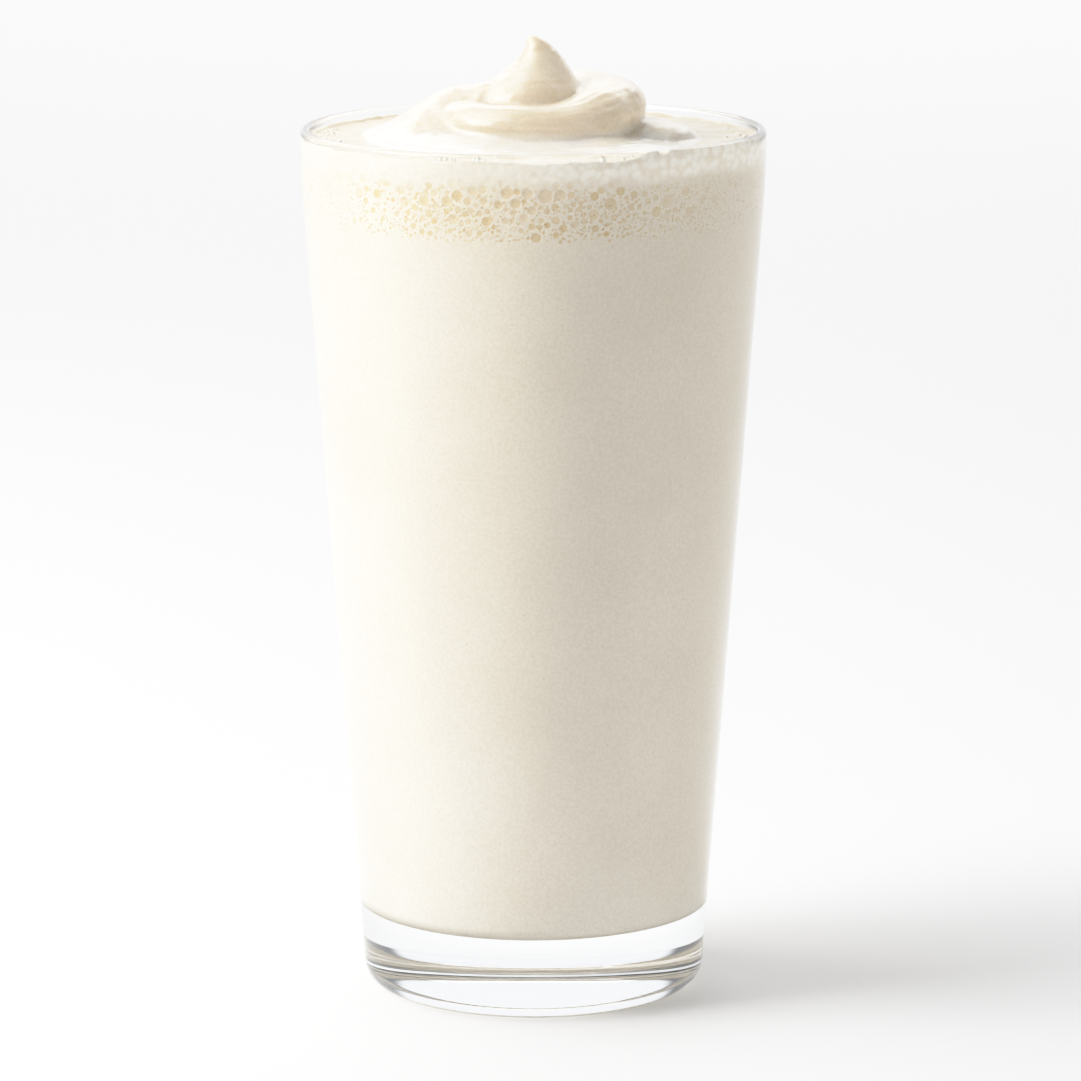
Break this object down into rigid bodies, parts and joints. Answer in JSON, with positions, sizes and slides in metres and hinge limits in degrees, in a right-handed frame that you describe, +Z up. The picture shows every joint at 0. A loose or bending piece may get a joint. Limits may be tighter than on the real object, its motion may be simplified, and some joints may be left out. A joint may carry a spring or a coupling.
{
  "type": "vanilla milkshake in a glass",
  "caption": "Tall flared glass tumbler with a thick clear base, filled nearly to the lip with a pale milkshake under a bubbly froth and a soft swirled peak.",
  "frame": {"origin": "on the glass's axis, at the surface that it stands on", "axes": "+Z up along the glass's axis; -Y is the front, from where the swirl's low side is seen and its high side is to the right, +X"},
  "size_m": [0.0848, 0.0848, 0.1767],
  "materials": {
    "glass": "clear colourless soda-lime glass, polished smooth",
    "milkshake": "opaque ivory milkshake, wet and even, with fine pits",
    "froth": "ivory froth with small tan bubbles against the glass",
    "swirl": "soft whipped milkshake, satin, ivory"
  },
  "bodies": {
    "root": {"glass": "glass", "milkshake": "milkshake", "froth": "froth", "swirl": "swirl"}
  },
  "joints": []
}
